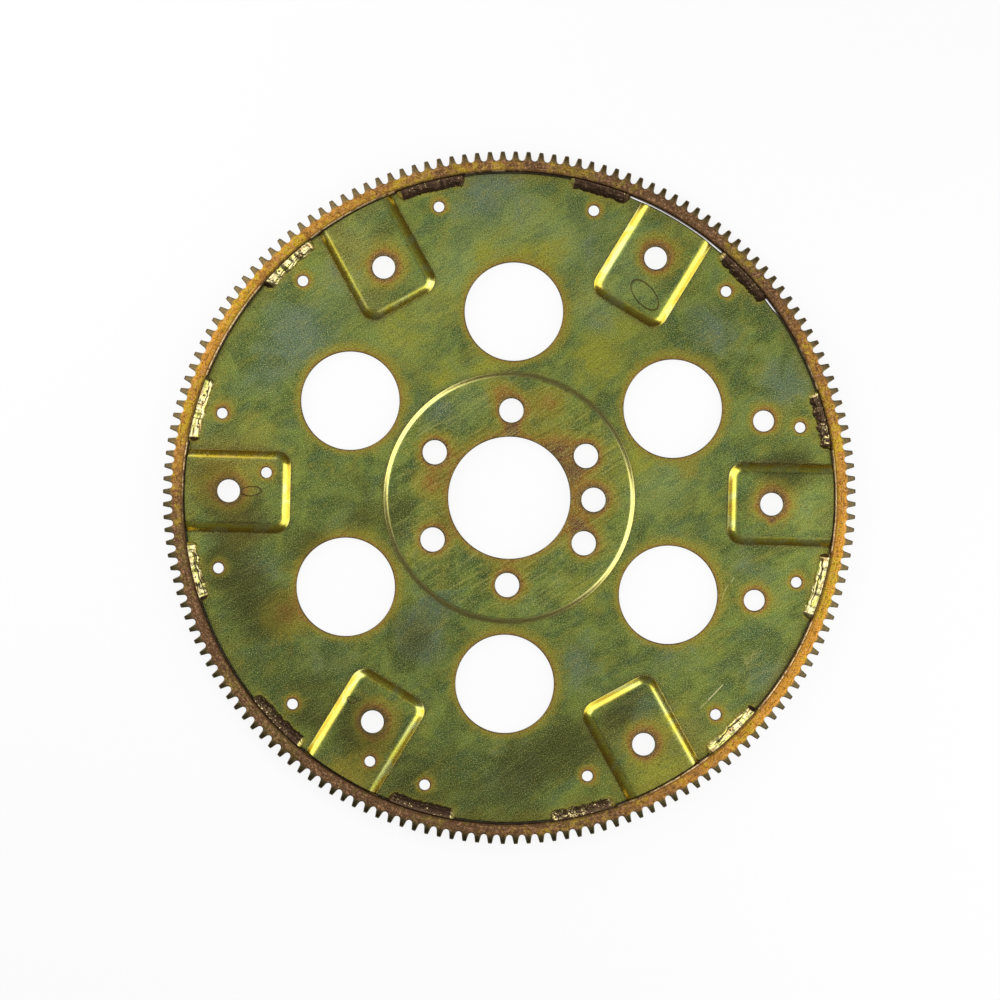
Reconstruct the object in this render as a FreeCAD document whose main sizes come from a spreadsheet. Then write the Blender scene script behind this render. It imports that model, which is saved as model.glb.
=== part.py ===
# Flexplate for an automatic gearbox: a pressed steel disc that bolts to the end of the
# crankshaft and carries the torque converter, with a starter ring gear welded round it.
# Millimetres and degrees. +Z runs along the crankshaft's axis towards the converter, and
# Z = 0 is the engine side of the ring gear, which the part lies on when it is put down.
# The middle of one converter pad is on +X.

import FreeCAD
import Part
import math
import os
import Sketcher

Vector = FreeCAD.Vector
Constraint = Sketcher.Constraint

# Driving dimensions, each under the name that the rest of the model knows it by.
DIMENSIONS = {
    # starter ring gear: 12 diametral pitch, full depth
    "tooth_count": 168,
    "tooth_module": 2.1167,
    "pressure_angle": 12.0,
    # how much metal each flank lacks, so that the starter's pinion meshes freely
    "flank_clearance": 0.25,
    "dedendum_ratio": 1.25,
    "tooth_phase": 0.35,
    "ring_width": 10.0,
    "ring_wall": 5.757,
    "tooth_end_chamfer": 0.8,
    # pressed disc
    "sheet_thickness": 3.0,
    "underside_rise": 1.0,
    "rim_gap": 0.8,
    "bore_radius": 31.75,
    # a pressed form is this much narrower underneath than on top, all round
    "press_inset": 1.1,
    # raised boss round the crankshaft flange
    "boss_radius": 64.8,
    "boss_height": 1.6,
    "boss_wall_run": 2.6,
    # raised pads that the converter bolts to: a steep foot, then a wide brow round a flat face
    "pad_count": 6,
    "pad_width": 42.1,
    "pad_length": 54.3,
    "pad_corner": 7.5,
    "pad_height": 3.0,
    "pad_wall_lean": 37.0,
    "pad_brow_across": 4.0,
    "pad_brow_down": 2.3,
    # crankshaft bolts, and the dowel between two of them
    "crank_bolt_count": 6,
    "crank_circle": 90.93,
    "crank_hole": 12.6,
    "crank_bolt_angle": 30.0,
    "dowel_reach": 43.9,
    # lightening windows, and the web between them and the boss
    "window_count": 6,
    "window_web": 6.6,
    "window_radius": 25.6,
    "window_angle": 30.0,
    # How far each hole's centre lies in from the disc's edge. Every second pad is drilled on
    # a bolt circle of 292.1 mm, the others on one of 273.05 mm.
    "wide_hole_inset": 22.55,
    "narrow_hole_inset": 32.075,
    "converter_hole": 11.8,
    # two tooling holes, one on each side of the pad on +X
    "tooling_hole": 10.9,
    "tooling_inset": 30.2,
    "tooling_angle_upper": 18.2,
    "tooling_angle_lower": -21.3,
    # small holes near the rim, and three that stand out of their circle
    "rim_hole": 5.5,
    "rim_hole_inset": 12.7,
    "rim_hole_angle": 15.0,
    "rim_hole_step": 30.0,
    "odd_hole_inset": 18.0,
    "odd_hole_angle": -72.9,
    "left_pad_hole_inset": 41.6,
    "left_pad_hole_angle": 175.5,
    "lower_pad_hole_inset": 13.5,
    "lower_pad_hole_angle": 243.55,
    # weld beads in the corner between disc and ring
    "weld_leg": 5.2,
    "weld_height": 5.0,
    "weld_end_taper": 2.0,
}

# Each weld bead's first and last angle round the axis, as it was laid by hand.
WELD_SPANS = [
    (10.2, 20.4), (39.3, 50.4), (69.6, 80.4), (99.5, 111.6), (129.1, 140.4), (159.7, 171.2),
    (189.3, 199.9), (219.5, 231.4), (249.7, 261.6), (278.9, 290.4), (309.5, 320.8), (339.5, 351.4),
]

# The rim holes, counted round their circle from the first one after +X. One is missing
# from the circle: the odd hole, drilled nearer the axis, takes its place.
RIM_HOLE_PLACES = 12
MISSING_RIM_HOLE = 9

# The tooth form. A straight flank stands for the involute, which is flat to 0.05 mm at
# this many teeth. Tips and roots are flat too, to 0.002 mm.
PITCH_RADIUS = "(dims.tooth_module * dims.tooth_count / 2)"
DEDENDUM = "(dims.dedendum_ratio * dims.tooth_module)"
ROOT_RADIUS = f"({PITCH_RADIUS} - {DEDENDUM})"
TIP_RADIUS = f"({PITCH_RADIUS} + dims.tooth_module)"
HALF_SPACE = "(pi * dims.tooth_module / 4 + dims.flank_clearance)"
FLANK_LEAN = "((dims.pressure_angle + 90 / dims.tooth_count) * 1deg)"
HALF_PITCH_ANGLE = "(180 / dims.tooth_count)"

# Lengths and heights that several pieces share, as expressions on the driving dimensions.
# The ring's bore follows from its teeth, the disc's edge from the bore, and the pads and
# the outer holes from the disc's edge.
UNDERSIDE = "dims.underside_rise"
TOPSIDE = "(dims.underside_rise + dims.sheet_thickness)"
RING_BORE = f"({ROOT_RADIUS} - dims.ring_wall)"
PLATE_RADIUS = f"({RING_BORE} - dims.rim_gap)"
PAD_INNER_END = f"({PLATE_RADIUS} - dims.pad_length)"
WINDOW_REACH = "(dims.boss_radius + dims.window_web + dims.window_radius)"
CUT_CLEARANCE = "dims.sheet_thickness"

doc =FreeCAD.newDocument("Flexplate")
sheet = doc.addObject("Spreadsheet::Sheet", "dims")
sheet.Label = "driving dimensions"


def fill_sheet():
    """Writes each driving dimension to a row of its own: its name, then its number."""
    rows = dict(DIMENSIONS)
    for number, (start, end) in enumerate(WELD_SPANS, 1):
        rows[f"weld_start_{number:02d}"] = start
        rows[f"weld_end_{number:02d}"] = end
    for row, (name, value) in enumerate(rows.items(), 1):
        sheet.set(f"A{row}", name)
        sheet.set(f"B{row}", str(value))
        sheet.setAlias(f"B{row}", name)
    doc.recompute()


def evaluate(expression):
    """The present value of an expression on the driving dimensions."""
    result = sheet.evalExpression(expression)
    return float(getattr(result, "Value", result))


def origin_feature(body, role):
    """One of a body's own origin planes or axes."""
    return [item for item in body.Origin.OriginFeatures if item.Role == role][0]


def new_sketch(body, name, role, height="0"):
    """A sketch on one of the body's origin planes, lifted along its normal."""
    sketch = body.newObject("Sketcher::SketchObject", name)
    sketch.AttachmentSupport = [(origin_feature(body, role), "")]
    sketch.MapMode = "FlatFace"
    sketch.setExpression("AttachmentOffset.Base.z", height)
    return sketch


def drive(sketch, constraint, expression):
    """Adds a dimension to a sketch and binds it to the driving dimensions."""
    index = sketch.addConstraint(constraint)
    sketch.setExpression(f"Constraints[{index}]", expression)


def place_point(sketch, element, end, point, expressions):
    """Fixes one end or centre of an element at a pair of expressions."""
    drive(sketch, Constraint("DistanceX", -1, 1, element, end, point.x), expressions[0])
    drive(sketch, Constraint("DistanceY", -1, 1, element, end, point.y), expressions[1])


def outline(sketch, corners):
    """A closed outline of straight lines through corners, each a pair of expressions."""
    points = [Vector(evaluate(x), evaluate(y), 0) for x, y in corners]
    count = len(points)
    for i in range(count):
        sketch.addGeometry(Part.LineSegment(points[i], points[(i + 1) % count]))
    for i in range(count):
        sketch.addConstraint(Constraint("Coincident", i, 2, (i + 1) % count, 1))
        place_point(sketch, i, 1, points[i], corners[i])


def add_feature(body, kind, name):
    """Starts a feature that becomes the body's last one."""
    feature = body.newObject(f"PartDesign::{kind}", name)
    body.Tip = feature
    return feature


def turn(body, kind, name, section, angle="360"):
    """Turns a section round the axis, as a Revolution that adds or a Groove that cuts."""
    feature = add_feature(body, kind, name)
    feature.Profile = section
    feature.ReferenceAxis = (origin_feature(body, "Z_Axis"), [""])
    feature.setExpression("Angle", f"({angle}) * 1deg")
    doc.recompute()
    return feature


def pierce(body, name, sketch):
    """Cuts a sketch's outline right through the body."""
    pocket = add_feature(body, "Pocket", name)
    pocket.Profile = sketch
    pocket.Type = "ThroughAll"
    pocket.Midplane = True
    doc.recompute()
    return pocket


def holes(body, name, places, diameter):
    """Round holes right through, each at a pair: reach from the axis, and angle."""
    sketch = new_sketch(body, f"{name}_plan", "XY_Plane")
    radius = evaluate(diameter) / 2
    for reach, angle in places:
        expressions = (
            f"({reach}) * cos(({angle}) * 1deg)",
            f"({reach}) * sin(({angle}) * 1deg)",
        )
        centre = Vector(evaluate(expressions[0]), evaluate(expressions[1]), 0)
        circle = sketch.addGeometry(Part.Circle(centre, Vector(0, 0, 1), radius))
        place_point(sketch, circle, 3, centre, expressions)
        drive(sketch, Constraint("Diameter", circle, 2 * radius), diameter)
    return pierce(body, name, sketch)


def in_from_rim(hole):
    """How far from the axis a hole lies that is placed by its inset from the disc's edge."""
    return f"{PLATE_RADIUS} - dims.{hole}_inset"


def repeat(body, name, features, count):
    """Repeats features round the axis, or the whole body if there are none given."""
    pattern = add_feature(body, "PolarPattern", name)
    if features:
        pattern.Originals = features
    else:
        pattern.TransformMode = "Whole shape"
    pattern.Axis = (origin_feature(body, "Z_Axis"), [""])
    pattern.Angle = 360
    pattern.setExpression("Occurrences", count)
    doc.recompute()


def bevel(body, name, edges, size, second_size=""):
    """Bevels edges of the body's last feature, by one size or by one on each side."""
    base = body.Tip
    chamfer = add_feature(body, "Chamfer", name)
    chamfer.Base = (base, edges)
    chamfer.setExpression("Size", size)
    if second_size:
        chamfer.ChamferType = "Two distances"
        chamfer.setExpression("Size2", second_size)
    doc.recompute()


def combine(body, name, kind, tool):
    """Fuses another body into this one, or cuts it out."""
    step = add_feature(body, "Boolean", name)
    step.Type = kind
    step.setObjects([tool])
    doc.recompute()


def edges_where(shape, accepts):
    """Names of the shape's edges that pass a test."""
    return [f"Edge{number}" for number, edge in enumerate(shape.Edges, 1) if accepts(edge)]


def is_level(edge, height):
    """Whether an edge lies level at this height."""
    return all(abs(vertex.Z - height) < 1e-6 for vertex in edge.Vertexes)


def is_slanting(edge):
    """Whether an edge rises as it runs outwards, and so is neither level nor upright."""
    box = edge.BoundBox
    return box.ZLength > 1e-3 and math.hypot(box.XLength, box.YLength) > 1e-3


def turned_disc(body):
    """The flat disc, with the boss round the crankshaft flange, as one turned section."""
    foot_under = "(dims.boss_radius - dims.press_inset)"
    section = new_sketch(body, "disc_section", "XZ_Plane")
    outline(section, [
        ("dims.bore_radius", f"{UNDERSIDE} + dims.boss_height"),
        (f"{foot_under} - dims.boss_wall_run", f"{UNDERSIDE} + dims.boss_height"),
        (foot_under, UNDERSIDE),
        (PLATE_RADIUS, UNDERSIDE),
        (PLATE_RADIUS, TOPSIDE),
        ("dims.boss_radius", TOPSIDE),
        ("dims.boss_radius - dims.boss_wall_run", f"{TOPSIDE} + dims.boss_height"),
        ("dims.bore_radius", f"{TOPSIDE} + dims.boss_height"),
    ])
    turn(body, "Revolution", "disc", section)


def pad_plan(body, name, height, inset):
    """Plan of the pad on +X, inset all round: straight sides and rounded inner corners."""
    sketch = new_sketch(body, name, "XY_Plane", height)
    reach = f"({PAD_INNER_END} + {inset})"
    past_rim = f"({RING_BORE} + dims.pad_width)"
    width = f"(dims.pad_width - 2 * {inset})"
    corner_radius = f"(dims.pad_corner - {inset})"
    inner = evaluate(reach)
    outer = evaluate(past_rim)
    half = evaluate(width) / 2
    corner = evaluate(corner_radius)
    bulge = corner * (1 - math.sqrt(0.5))

    def line(start, end):
        return sketch.addGeometry(Part.LineSegment(Vector(*start), Vector(*end)))

    def arc(start, middle, end):
        return sketch.addGeometry(Part.Arc(Vector(*start), Vector(*middle), Vector(*end)))

    inner_end = line((inner, half - corner), (inner, corner - half))
    arc_low = arc((inner, corner - half), (inner + bulge, bulge - half), (inner + corner, -half))
    side_low = line((inner + corner, -half), (outer, -half))
    outer_end = line((outer, -half), (outer, half))
    side_high = line((outer, half), (inner + corner, half))
    arc_high = arc((inner + corner, half), (inner + bulge, half - bulge), (inner, half - corner))

    for first, second in [
        (inner_end, arc_low), (arc_low, side_low), (side_high, arc_high), (arc_high, inner_end),
    ]:
        sketch.addConstraint(Constraint("Tangent", first, 2, second, 1))
    for first, second in [(side_low, outer_end), (outer_end, side_high)]:
        sketch.addConstraint(Constraint("Coincident", first, 2, second, 1))
    sketch.addConstraint(Constraint("Horizontal", side_low))
    sketch.addConstraint(Constraint("Horizontal", side_high))
    sketch.addConstraint(Constraint("Vertical", inner_end))
    sketch.addConstraint(Constraint("Symmetric", outer_end, 1, outer_end, 2, -1))
    sketch.addConstraint(Constraint("Equal", arc_low, arc_high))
    drive(sketch, Constraint("DistanceX", -1, 1, inner_end, 1, inner), reach)
    drive(sketch, Constraint("DistanceX", -1, 1, outer_end, 1, outer), past_rim)
    drive(sketch, Constraint("DistanceY", outer_end, 1, outer_end, 2, 2 * half), width)
    drive(sketch, Constraint("Radius", arc_low, corner), corner_radius)
    return sketch


def pad_forms(name, height, inset, has_brow):
    """All the pads' raised forms, standing at a height, with leaning walls."""
    body = doc.addObject("PartDesign::Body", name)
    plan = pad_plan(body, f"{name}_plan", height, inset)
    rise = add_feature(body, "Pad", f"{name}_rise")
    rise.Profile = plan
    rise.setExpression("Length", "dims.pad_height")
    rise.setExpression("TaperAngle", "-dims.pad_wall_lean")
    doc.recompute()
    if has_brow:
        top = evaluate(f"{height} + dims.pad_height")
        rim = evaluate(RING_BORE)
        edges = edges_where(
            rise.Shape, lambda edge: is_level(edge, top) and edge.BoundBox.XMin < rim
        )
        bevel(body, f"{name}_brow", edges, "dims.pad_brow_down", "dims.pad_brow_across")
    repeat(body, f"{name}_round", [], "dims.pad_count")
    return body


def trim_rim(body):
    """Cuts the pads, which run past the rim, back to the disc's edge."""
    past_pads = f"({RING_BORE} + 2 * dims.pad_width)"
    below = f"{UNDERSIDE} - {CUT_CLEARANCE}"
    above = f"{TOPSIDE} + dims.pad_height + {CUT_CLEARANCE}"
    section = new_sketch(body, "rim_section", "XZ_Plane")
    outline(section, [
        (PLATE_RADIUS, below), (past_pads, below), (past_pads, above), (PLATE_RADIUS, above),
    ])
    turn(body, "Groove", "rim_trim", section)


def make_flex_plate():
    """The pressed and pierced disc."""
    body = doc.addObject("PartDesign::Body", "flex_plate")
    turned_disc(body)
    pad_tops = pad_forms("pad_tops", TOPSIDE, "0", True)
    combine(body, "pads_raised", "Fuse", pad_tops)
    pad_hollows = pad_forms("pad_hollows", UNDERSIDE, "dims.press_inset", False)
    combine(body, "pads_hollowed", "Cut", pad_hollows)
    trim_rim(body)

    crank_bolt = holes(
        body, "crank_bolt", [("dims.crank_circle / 2", "dims.crank_bolt_angle")], "dims.crank_hole"
    )
    repeat(body, "crank_bolts", [crank_bolt], "dims.crank_bolt_count")
    holes(body, "dowel", [("dims.dowel_reach", "0")], "dims.crank_hole")

    window = holes(
        body, "window", [(WINDOW_REACH, "dims.window_angle")], "2 * dims.window_radius"
    )
    repeat(body, "windows", [window], "dims.window_count")

    pad_pair = holes(
        body, "pad_pair",
        [
            (in_from_rim("narrow_hole"), "0"),
            (in_from_rim("wide_hole"), "360 / dims.pad_count"),
        ],
        "dims.converter_hole",
    )
    repeat(body, "converter_bolts", [pad_pair], "dims.pad_count / 2")

    holes(
        body, "tooling",
        [
            (in_from_rim("tooling"), "dims.tooling_angle_upper"),
            (in_from_rim("tooling"), "dims.tooling_angle_lower"),
        ],
        "dims.tooling_hole",
    )

    places = [
        (in_from_rim("rim_hole"), f"dims.rim_hole_angle + {step} * dims.rim_hole_step")
        for step in range(RIM_HOLE_PLACES) if step != MISSING_RIM_HOLE
    ]
    for hole in ("odd_hole", "left_pad_hole", "lower_pad_hole"):
        places.append((in_from_rim(hole), f"dims.{hole}_angle"))
    holes(body, "rim_holes", places, "dims.rim_hole")
    return body


def make_ring_gear():
    """The ring gear: a blank with a flat for each tooth, then the spaces between the teeth."""
    body = doc.addObject("PartDesign::Body", "ring_gear")
    blank = add_feature(body, "AdditivePrism", "blank")
    blank.Polygon = DIMENSIONS["tooth_count"]
    blank.setExpression("Polygon", "dims.tooth_count")
    blank.setExpression("Circumradius", f"{TIP_RADIUS} / cos({HALF_PITCH_ANGLE} * 1deg)")
    blank.setExpression("Height", "dims.ring_width")
    doc.recompute()
    top = evaluate("dims.ring_width")
    bevel(
        body, "tooth_ends", edges_where(blank.Shape, lambda edge: is_level(edge, top)),
        "dims.tooth_end_chamfer",
    )
    holes(body, "ring_bore", [("0", "0")], f"2 * {RING_BORE}")

    mouth = f"({TIP_RADIUS} + dims.tooth_module)"
    half_mouth = f"({HALF_SPACE} + ({mouth} - {PITCH_RADIUS}) * tan({FLANK_LEAN}))"
    half_root = f"({HALF_SPACE} - {DEDENDUM} * tan({FLANK_LEAN}))"
    space_plan = new_sketch(body, "space_plan", "XY_Plane")
    outline(space_plan, [
        (mouth, half_mouth),
        (ROOT_RADIUS, half_root),
        (ROOT_RADIUS, f"-{half_root}"),
        (mouth, f"-{half_mouth}"),
    ])
    space = pierce(body, "tooth_space", space_plan)
    repeat(body, "teeth", [space], "dims.tooth_count")

    body.Placement = FreeCAD.Placement(Vector(), FreeCAD.Rotation(Vector(0, 0, 1), 1))
    body.setExpression(
        "Placement.Rotation.Angle", f"(dims.tooth_phase + {HALF_PITCH_ANGLE}) * 1deg"
    )
    return body


def make_weld_bead(number):
    """One run of weld metal in the corner that the disc makes with the ring's bore."""
    body = doc.addObject("PartDesign::Body", f"weld_bead_{number:02d}")
    section = new_sketch(body, f"weld_section_{number:02d}", "XZ_Plane")
    outline(section, [
        (RING_BORE, TOPSIDE),
        (RING_BORE, f"{TOPSIDE} + dims.weld_height"),
        (f"{RING_BORE} - dims.weld_leg", TOPSIDE),
    ])
    start = f"dims.weld_start_{number:02d}"
    span = f"dims.weld_end_{number:02d} - {start}"
    run = turn(body, "Revolution", f"weld_run_{number:02d}", section, span)
    bevel(
        body, f"weld_ends_{number:02d}", edges_where(run.Shape, is_slanting),
        "dims.weld_end_taper",
    )

    body.Placement = FreeCAD.Placement(Vector(), FreeCAD.Rotation(Vector(0, 0, 1), 1))
    body.setExpression("Placement.Rotation.Angle", f"{start} * 1deg")
    return body


def check_document():
    """Stops if a feature has failed, or if its shape is missing or unsound."""
    for item in doc.Objects:
        if "Invalid" in item.State or "Error" in item.State:
            raise RuntimeError(f"{item.Name} failed: {item.State}")


def write_pieces(pieces):
    """Writes each piece's solid to a file that bears its name."""
    os.makedirs("parts", exist_ok=True)
    for piece in pieces:
        shape = piece.Shape
        if shape.isNull() or not shape.isValid() or len(shape.Solids) != 1:
            raise RuntimeError(f"{piece.Label} isn't one sound solid")
    for piece in pieces:
        piece.Shape.exportStep(os.path.join("parts", f"{piece.Label}.step"))


fill_sheet()
pieces = [make_flex_plate(), make_ring_gear()]
pieces += [make_weld_bead(number) for number in range(1, len(WELD_SPANS) + 1)]
doc.recompute()
check_document()
write_pieces(pieces)
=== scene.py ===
import bmesh
import bpy
import math
import numpy as np
import random
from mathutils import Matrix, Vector, noise
from mathutils.geometry import delaunay_2d_cdt


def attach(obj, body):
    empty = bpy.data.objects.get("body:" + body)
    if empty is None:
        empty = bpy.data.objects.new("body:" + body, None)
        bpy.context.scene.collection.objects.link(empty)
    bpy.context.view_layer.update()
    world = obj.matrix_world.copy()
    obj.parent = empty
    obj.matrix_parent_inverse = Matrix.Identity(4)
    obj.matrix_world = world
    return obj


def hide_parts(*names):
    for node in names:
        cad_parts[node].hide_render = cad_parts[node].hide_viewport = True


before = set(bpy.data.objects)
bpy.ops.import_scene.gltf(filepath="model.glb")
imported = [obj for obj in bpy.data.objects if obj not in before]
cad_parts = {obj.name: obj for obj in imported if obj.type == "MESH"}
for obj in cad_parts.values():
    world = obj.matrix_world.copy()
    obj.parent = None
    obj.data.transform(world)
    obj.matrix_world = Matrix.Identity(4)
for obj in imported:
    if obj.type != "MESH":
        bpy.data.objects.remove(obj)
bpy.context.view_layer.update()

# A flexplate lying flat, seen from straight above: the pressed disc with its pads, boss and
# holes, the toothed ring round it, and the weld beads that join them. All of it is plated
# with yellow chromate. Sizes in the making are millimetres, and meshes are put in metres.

# Sizes of the part, as its solids have them
RIM_RADIUS = 168.6
BORE_RADIUS = 31.75
SHEET_LOW = 1.0
SHEET_HIGH = 4.0
BOSS_RADIUS = 64.8
BOSS_RISE = 1.6
BOSS_RUN = 2.6
PAD_COUNT = 6
PAD_HALF_WIDTH = 21.05
PAD_INNER_REACH = 114.3
PAD_CORNER = 7.5
PAD_RISE = 3.0
PAD_RUN = 6.0
PAD_RUN_BELOW = 4.6
PRESS_INSET = 1.1
RING_BORE = 169.4
RING_WIDTH = 10.0
TOOTH_COUNT = 168
TOOTH_PHASE = 0.35
PITCH_RADIUS = 177.803
ROOT_RADIUS = 175.157
TIP_RADIUS = 179.92
HALF_SPACE = 1.9125
FLANK_LEAN = math.radians(12.536)
TOOTH_END_CHAMFER = 0.8
BORE_CHAMFER = 0.6
WELD_SPANS = [
    (10.2, 20.4), (39.3, 50.4), (69.6, 80.4), (99.5, 111.6), (129.1, 140.4), (159.7, 171.2),
    (189.3, 199.9), (219.5, 231.4), (249.7, 261.6), (278.9, 290.4), (309.5, 320.8), (339.5, 351.4),
]
# How lit each bead is painted, from shaded black 0 to lit cream 1 by painted light and shade, how
# speckled it is, and how cracked
WELD_LOOKS = [
    (0.12, 0.9, 0.0), (0.05, 0.4, 0.0), (0.02, 0.2, 0.0), (0.0, 0.3, 0.0), (0.65, 0.8, 0.6),
    (1.0, 0.2, 0.5), (0.95, 0.4, 0.8), (0.1, 0.7, 0.0), (0.1, 0.5, 0.0), (0.2, 1.0, 0.2),
    (0.95, 0.2, 1.0), (1.0, 0.3, 0.9),
]

# How softly the press and the tools left the edges
PAD_SPREAD = 0.6
BOSS_SPREAD = 0.9
STEEPEST = math.radians(41)
PAD_FOOT_SHARE = 0.12
BOSS_FOOT_SHARE = 0.25
LIP = 0.45
EDGE_ROUND = 0.25

# A tooth's points: radii on its flank, steps round its root, and how far the points of its
# rounded tip lie inside the tip and along it
FLANK_RADII = (177.6, 178.6, 179.3)
ROOT_STEPS = 6
TIP_ROUND = ((0.22, 0.0), (0.06, 0.08), (0.01, 0.26))
# The ring's flat face ends this far inside the roots
FACE_INSIDE_ROOT = 0.8

# The disc's points: how many stand round its edge and round the boss, the steps along a pad's
# side, round its corner, along half its end and over a rounded lip, and how far past the lip
# one more row lies
RIM_POINTS = 360
BOSS_POINTS = 288
PAD_SIDE_STEPS = 12
PAD_BEND_STEPS = 10
PAD_END_STEPS = 4
LIP_STEPS = 4
PAST_LIP = 0.3
# The least turn, in radians, between an even point of the edge and the end of a pad's row
RIM_APART = 0.0012
# How far loose points keep from a pressed wall, a hole's edge, the last ring round a hole,
# and the disc's edge
WALL_CLEAR = 1.1
HOLE_CLEAR = 0.9
RING_CLEAR = 0.8
RIM_CLEAR = 1.6
# Where a cut edge has its two middle rows, as shares of the way down
CUT_ROWS = (0.12, 0.88)

# A weld bead: its leg on the disc, its height up the ring, the length of its tapered ends, how
# far in degrees it passes its span, the radius that its run is measured at, how far it is
# sunk in the steel, the length of a step along it, and how many steps go across
BEAD_LEG = 5.2
BEAD_HEIGHT = 4.9
BEAD_END = 3.0
BEAD_OVERRUN = 0.17
BEAD_REACH = 167.0
BEAD_SUNK = 0.05
BEAD_STEP = 0.22
BEAD_ACROSS = 24

# How the photograph shows the part: the pixel of its axis, millimetres to a pixel, and turn
PHOTO_CENTRE = (509.25, 497.75)
PHOTO_SCALE = 0.52
PHOTO_TURN = math.radians(1.42)

# The stage, in metres: the camera over the middle of the photograph, the width that it shows
# at the disc's level, the floor, the lamp overhead, and the two low lamps with the angle in
# the photograph and the width of each. Only the camera's sensor is in millimetres.
MILLIMETRE = 0.001
CAMERA_PLACE = (-0.00478, -0.00129)
CAMERA_DISTANCE = 2.0
CAMERA_SENSOR = 36.0
CAMERA_SEES = 20.0
FRAME_WIDTH = 0.52
DISC_LEVEL = 0.007
FLOOR_HALF = 3.0
FLOOR_LEVEL = -0.0002
FLOOR_PAPER = (0.85, 0.85, 0.85, 1.0)
FLOOR_GLOW = 0.9
WHITE = (1.0, 1.0, 1.0, 1.0)
OVERHEAD_LEVEL = 2.6
OVERHEAD_WIDTH = 2.0
OVERHEAD_RADIANCE = 1.25
SIDE_LAMPS = ((147, 0.70), (-17, 0.62))
SIDE_REACH = 0.55
SIDE_LEVEL = 0.42
SIDE_HEIGHT = 0.8
SIDE_RADIANCE = 2.5
ROOM_LIGHT = 0.05


def rotated(x, y, angle):
    """A point turned about the axis."""
    cosine, sine = math.cos(angle), math.sin(angle)
    return x * cosine - y * sine, x * sine + y * cosine


def from_photo(column, row):
    """The place on the part, in millimetres, that a pixel of the photograph shows."""
    x = (column - PHOTO_CENTRE[0]) * PHOTO_SCALE
    y = (PHOTO_CENTRE[1] - row) * PHOTO_SCALE
    return rotated(x, y, PHOTO_TURN)


def polar(reach, degrees):
    """A point at a reach from the axis and an angle from +X."""
    angle = math.radians(degrees)
    return reach * math.cos(angle), reach * math.sin(angle)


# The holes: reach from the axis, angles, radius, points round the edge, and the width and
# strength of the brown bloom that the plating has round them
SIXTHS = [30 + 60 * k for k in range(PAD_COUNT)]
HOLE_KINDS = {
    "centre bore": (0.0, [0], BORE_RADIUS, 160, 4.0, 0.6),
    "crank bolts": (45.465, SIXTHS, 6.3, 56, 3.2, 0.8),
    "dowel": (43.9, [0], 6.3, 56, 4.0, 0.9),
    "windows": (97.0, SIXTHS, 25.6, 144, 3.6, 0.56),
    "converter bolts, inner": (136.525, [0, 120, 240], 5.9, 56, 4.4, 0.92),
    "converter bolts, outer": (146.05, [60, 180, 300], 5.9, 56, 4.4, 0.92),
    "tooling": (138.4, [18.2, -21.3], 5.45, 56, 3.0, 0.75),
    "small": (155.9, [15 + 30 * k for k in range(12) if k != 9], 2.75, 40, 2.2, 0.72),
    "small, set in": (150.6, [-72.9], 2.75, 40, 2.4, 0.78),
    "small, on the left pad": (127.0, [175.5], 2.75, 40, 2.0, 0.7),
    "small, on the lower left pad": (155.1, [243.55], 2.75, 40, 2.0, 0.7),
}
HOLES = np.array([
    (*polar(reach, angle), *looks)
    for reach, angles, *looks in HOLE_KINDS.values() for angle in angles
])

# Soft patches where the plating took another tint or stayed dark: column and row in the
# photograph, radius in millimetres, and strength
GREY_PATCHES = [
    (300, 330, 20, 0.9), (262, 368, 12, 0.6), (350, 275, 12, 0.5), (490, 185, 20, 1.0),
    (585, 245, 13, 0.6), (600, 315, 9, 0.5), (715, 335, 16, 0.7), (785, 385, 15, 0.7),
    (440, 412, 9, 0.8), (440, 602, 9, 0.6), (418, 636, 15, 1.0), (255, 570, 14, 0.6),
    (335, 660, 14, 0.5), (580, 660, 13, 0.6), (665, 650, 12, 0.5), (765, 672, 16, 0.6),
    (640, 705, 11, 0.8), (750, 565, 12, 0.5), (510, 775, 20, 0.5),
]
LIME_PATCHES = [
    (530, 252, 10, 0.8), (482, 250, 8, 0.6), (597, 360, 14, 0.9), (628, 325, 9, 0.6),
    (402, 332, 12, 0.7), (440, 375, 9, 0.7), (640, 460, 12, 0.6), (585, 592, 9, 0.8),
    (660, 778, 20, 0.9), (420, 555, 9, 0.7), (362, 530, 11, 0.6), (388, 600, 9, 0.6),
    (700, 620, 9, 0.4), (770, 720, 14, 0.5), (470, 700, 7, 0.5), (676, 720, 8, 0.9),
    (354, 278, 8, 0.9), (486, 366, 9, 0.8), (618, 454, 8, 0.8), (555, 256, 9, 0.5),
    (440, 300, 10, 0.8), (622, 470, 5, 0.8), (600, 425, 6, 0.6), (395, 262, 6, 0.7),
]
LIGHT_PATCHES = [
    (660, 480, 16, 1.0), (510, 216, 20, 0.8), (465, 402, 10, 0.7), (360, 240, 10, 0.8),
    (600, 300, 13, 1.0), (400, 340, 14, 0.5), (805, 510, 12, 0.6), (675, 545, 10, 0.4),
    (540, 600, 12, 0.3), (330, 300, 12, 0.4), (562, 242, 14, 1.0),
    (462, 262, 14, 0.9), (436, 300, 12, 0.9), (642, 285, 9, 0.7), (486, 366, 8, 0.7),
    (618, 454, 7, 0.8), (640, 240, 9, 0.6), (625, 262, 7, 0.6),
]
BROWN_PATCHES = [
    (430, 482, 9, 0.55), (285, 615, 12, 0.5), (560, 448, 9, 0.7), (550, 402, 9, 0.5),
    (512, 430, 4, 0.9), (574, 474, 5, 0.9), (578, 524, 5, 0.8), (500, 392, 7, 0.5),
    (690, 470, 6, 0.3), (245, 250, 9, 0.4), (345, 780, 14, 0.4), (772, 521, 1.6, 0.9),
    (205, 488, 9, 0.35), (222, 410, 5, 0.35), (376, 745, 9, 0.25),
]
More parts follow.
